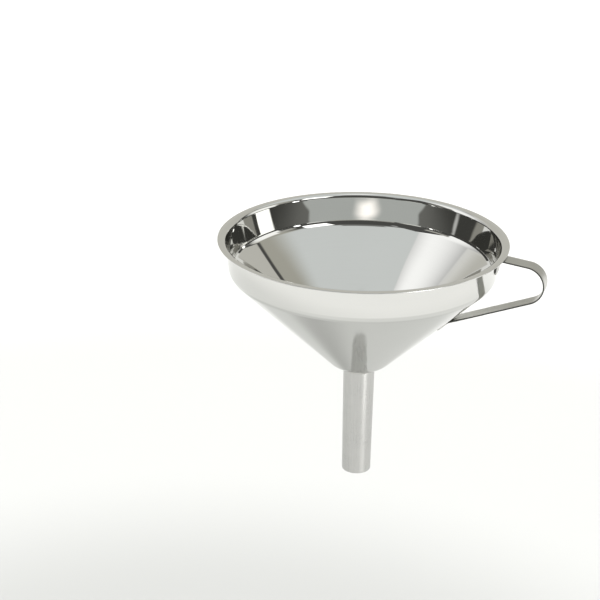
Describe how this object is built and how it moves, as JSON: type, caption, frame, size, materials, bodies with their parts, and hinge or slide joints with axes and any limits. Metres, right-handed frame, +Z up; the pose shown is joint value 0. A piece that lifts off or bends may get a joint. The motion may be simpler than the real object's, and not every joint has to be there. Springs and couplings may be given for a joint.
{
  "type": "canning funnel",
  "caption": "Round steel funnel with a flat turned-out lip, an upright band, a cone, a narrow tapered spout and a looped flat strip handle, for filling jars and bottles.",
  "frame": {"origin": "centre of the circle where the bowl's rounded foot meets the spout, which is where a bottle's neck holds the funnel", "axes": "+Z up along the funnel's axis, out of its mouth; +X towards the handle; the spout points down -Z"},
  "size_m": [0.166, 0.146, 0.1322],
  "materials": {
    "polished_steel": "mirror-polished stainless sheet, softer outside",
    "satin_steel": "satin stainless tube, fine streaks along its length",
    "strip_steel": "satin stainless strip, fine streaks along its length",
    "weld_steel": "dressed weld metal, slightly darker"
  },
  "bodies": {
    "root": {"bowl": "polished_steel", "spout": "satin_steel", "spout_weld": "weld_steel", "handle": "strip_steel", "upper_spot_weld_right": "weld_steel", "upper_spot_weld_left": "weld_steel", "lower_spot_weld_right": "weld_steel", "lower_spot_weld_left": "weld_steel"}
  },
  "joints": []
}
